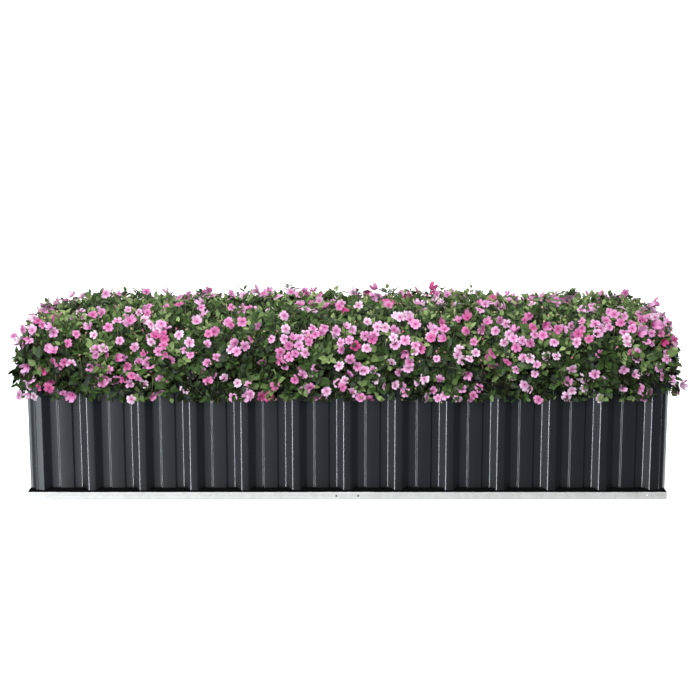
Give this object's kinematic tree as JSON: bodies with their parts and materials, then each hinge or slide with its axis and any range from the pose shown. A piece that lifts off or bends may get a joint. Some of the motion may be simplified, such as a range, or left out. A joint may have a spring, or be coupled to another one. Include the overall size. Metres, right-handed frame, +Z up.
{
  "type": "planted raised bed",
  "caption": "Long ribbed steel raised bed on a galvanised base rail, filled with soil and planted with pink flowering busy lizzies that hang over its rim.",
  "frame": {"origin": "on the ground, under the middle of the bed", "axes": "+X along the bed's length, -Y towards its front, +Z up"},
  "size_m": [2.547, 0.9806, 0.743],
  "materials": {
    "anthracite_paint": "smooth satin polyester coating on ribbed sheet steel",
    "galvanised_steel": "plain zinc, light satin",
    "black_rubber": "matt",
    "zinc_rivet": "dull zinc",
    "potting_soil": "moist, crumbly and matt",
    "busy_lizzie": "satin green leaves with pink petals"
  },
  "bodies": {
    "root": {"base_corner_back_left": "galvanised_steel", "base_corner_back_right": "galvanised_steel", "base_corner_front_left": "galvanised_steel", "base_corner_front_right": "galvanised_steel", "base_rail_back_left": "galvanised_steel", "base_rail_back_right": "galvanised_steel", "base_rail_front_left": "galvanised_steel", "base_rail_front_right": "galvanised_steel", "base_rail_left": "galvanised_steel", "base_rail_right": "galvanised_steel", "base_seal": "black_rubber", "base_splice_back": "galvanised_steel", "base_splice_front": "galvanised_steel", "busy_lizzie_back_1": "busy_lizzie", "busy_lizzie_back_2": "busy_lizzie", "busy_lizzie_back_3": "busy_lizzie", "busy_lizzie_back_4": "busy_lizzie", "busy_lizzie_back_5": "busy_lizzie", "busy_lizzie_back_6": "busy_lizzie", "busy_lizzie_back_7": "busy_lizzie", "busy_lizzie_front_1": "busy_lizzie", "busy_lizzie_front_2": "busy_lizzie", "busy_lizzie_front_3": "busy_lizzie", "busy_lizzie_front_4": "busy_lizzie", "busy_lizzie_front_5": "busy_lizzie", "busy_lizzie_front_6": "busy_lizzie", "busy_lizzie_front_7": "busy_lizzie", "corner_post_back_left": "anthracite_paint", "corner_post_back_right": "anthracite_paint", "corner_post_front_left": "anthracite_paint", "corner_post_front_right": "anthracite_paint", "cross_brace_left": "galvanised_steel", "cross_brace_right": "galvanised_steel", "rivet_back_1": "zinc_rivet", "rivet_back_2": "zinc_rivet", "rivet_back_3": "zinc_rivet", "rivet_back_4": "zinc_rivet", "rivet_front_1": "zinc_rivet", "rivet_front_2": "zinc_rivet", "rivet_front_3": "zinc_rivet", "rivet_front_4": "zinc_rivet", "rivet_left_1": "zinc_rivet", "rivet_left_2": "zinc_rivet", "rivet_right_1": "zinc_rivet", "rivet_right_2": "zinc_rivet", "soil": "potting_soil", "top_rail_back_left": "anthracite_paint", "top_rail_back_right": "anthracite_paint", "top_rail_front_left": "anthracite_paint", "top_rail_front_right": "anthracite_paint", "top_rail_left": "anthracite_paint", "top_rail_right": "anthracite_paint", "wall_back_1": "anthracite_paint", "wall_back_2": "anthracite_paint", "wall_back_3": "anthracite_paint", "wall_front_1": "anthracite_paint", "wall_front_2": "anthracite_paint", "wall_front_3": "anthracite_paint", "wall_left": "anthracite_paint", "wall_right": "anthracite_paint"}
  },
  "joints": []
}
